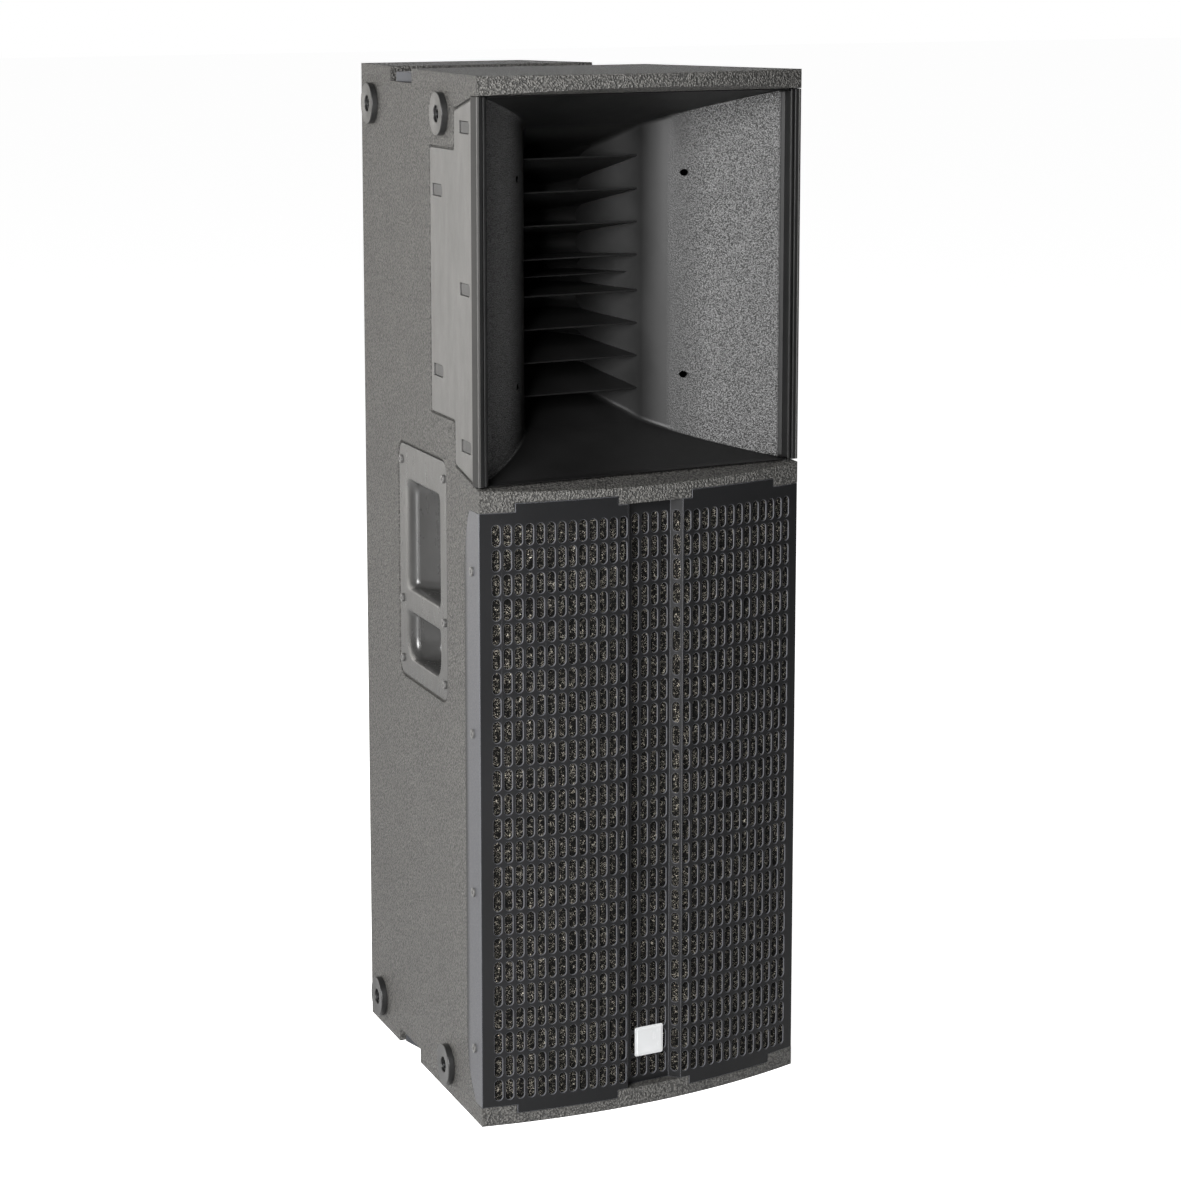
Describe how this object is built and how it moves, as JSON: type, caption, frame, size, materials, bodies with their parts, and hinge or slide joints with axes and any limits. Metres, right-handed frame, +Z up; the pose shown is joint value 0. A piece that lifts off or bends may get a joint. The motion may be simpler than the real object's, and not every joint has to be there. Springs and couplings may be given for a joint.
{
  "type": "pa speaker cabinet",
  "caption": "Tall tapered PA speaker cabinet with a bowed slotted grille below a large vaned horn, side handles and side feet.",
  "frame": {"origin": "middle of the footprint, at the floor", "axes": "+Z up, the grille and horn face -Y, +X towards the cabinet's own left as seen from behind it"},
  "size_m": [0.347, 0.3874, 0.955],
  "materials": {
    "painted_wood": "dark textured paint on plywood",
    "bare_wood": "bare birch plywood",
    "wool": "polyester wool",
    "horn_plastic": "moulded satin plastic",
    "dark_plastic": "moulded plastic",
    "handle_plastic": "satin moulded plastic",
    "grille_steel": "powder-coated punched steel",
    "foam": "open-cell foam",
    "badge_plate": "blank badge",
    "black_screw": "blackened steel",
    "foot_rubber": "hard black rubber",
    "steel": "zinc-plated steel",
    "rail_alloy": "bare extruded alloy",
    "cast_alloy": "cast alloy",
    "magnet_black": "coated magnet and steel plates",
    "cone_paper": "coated paper",
    "surround_cloth": "doped cloth",
    "spider_cloth": "resin-soaked cloth",
    "amp_steel": "powder-coated alloy plate",
    "board": "circuit board",
    "brass": "turned brass",
    "rocker_red": "gloss plastic",
    "button_grey": "gloss plastic",
    "light_lens": "clear lens"
  },
  "bodies": {
    "cabinet": {"side_panel_left": "painted_wood", "side_panel_right": "painted_wood", "top_plate": "painted_wood", "mid_plate": "painted_wood", "bottom_plate": "painted_wood", "front_baffle": "bare_wood", "rear_panel": "painted_wood", "internal_brace": "bare_wood", "damping_wool": "wool", "horn_shell": "horn_plastic", "horn_vanes": "horn_plastic", "horn_clips": "dark_plastic", "throat_adapter": "cast_alloy", "compression_driver": "magnet_black", "grille": "grille_steel", "grille_foam": "foam", "badge": "badge_plate", "grille_screws": "black_screw", "handle_left": "handle_plastic", "handle_right": "handle_plastic", "handle_screws": "black_screw", "side_feet": "foot_rubber", "foot_inserts": "steel", "top_rail": "rail_alloy", "bottom_rail": "rail_alloy", "upper_basket": "cast_alloy", "upper_magnet": "magnet_black", "upper_spider": "spider_cloth", "upper_surround": "surround_cloth", "lower_basket": "cast_alloy", "lower_magnet": "magnet_black", "lower_spider": "spider_cloth", "lower_surround": "surround_cloth", "woofer_screws": "black_screw", "amp_plate": "amp_steel", "heatsink": "rail_alloy", "circuit_board": "board", "board_standoffs": "brass", "mains_inlet": "dark_plastic", "signal_sockets": "dark_plastic", "level_control": "brass", "rocker_frame": "dark_plastic", "button_guide": "dark_plastic", "status_light": "light_lens", "amp_screws": "black_screw"},
    "upper_diaphragm": {"upper_cone": "cone_paper", "upper_dust_cap": "cone_paper"},
    "lower_diaphragm": {"lower_cone": "cone_paper", "lower_dust_cap": "cone_paper"},
    "knob": {"level_knob": "dark_plastic", "knob_shaft": "steel"},
    "rocker": {"power_rocker": "rocker_red"},
    "button": {"mode_button": "button_grey"},
    "latch_1": {"latch_tab_1": "steel"},
    "latch_2": {"latch_tab_2": "steel"}
  },
  "joints": [
    {"name": "upper_cone_travel", "type": "slide", "parent": "cabinet", "child": "upper_diaphragm", "axis": [0, -1, 0], "range_m": [-0.005, 0.005], "stiffness_N_per_m": 5000},
    {"name": "lower_cone_travel", "type": "slide", "parent": "cabinet", "child": "lower_diaphragm", "axis": [0, -1, 0], "range_m": [-0.005, 0.005], "stiffness_N_per_m": 5000},
    {"name": "level_knob_turn", "type": "hinge", "parent": "cabinet", "child": "knob", "pos_m": [0.03, 0.1817, 0.4025], "axis": [0, 1, 0], "range_deg": [-150, 150]},
    {"name": "power_rocker_tilt", "type": "hinge", "parent": "cabinet", "child": "rocker", "pos_m": [0.03, 0.1817, 0.1325], "axis": [1, 0, 0], "range_deg": [-8, 8]},
    {"name": "mode_button_press", "type": "slide", "parent": "cabinet", "child": "button", "axis": [0, -1, 0], "range_m": [0, 0.002], "stiffness_N_per_m": 500},
    {"name": "latch_1_press", "type": "slide", "parent": "cabinet", "child": "latch_1", "axis": [0, -1, 0], "range_m": [0, 0.0015], "stiffness_N_per_m": 500},
    {"name": "latch_2_press", "type": "slide", "parent": "cabinet", "child": "latch_2", "axis": [0, -1, 0], "range_m": [0, 0.0015], "stiffness_N_per_m": 500}
  ]
}
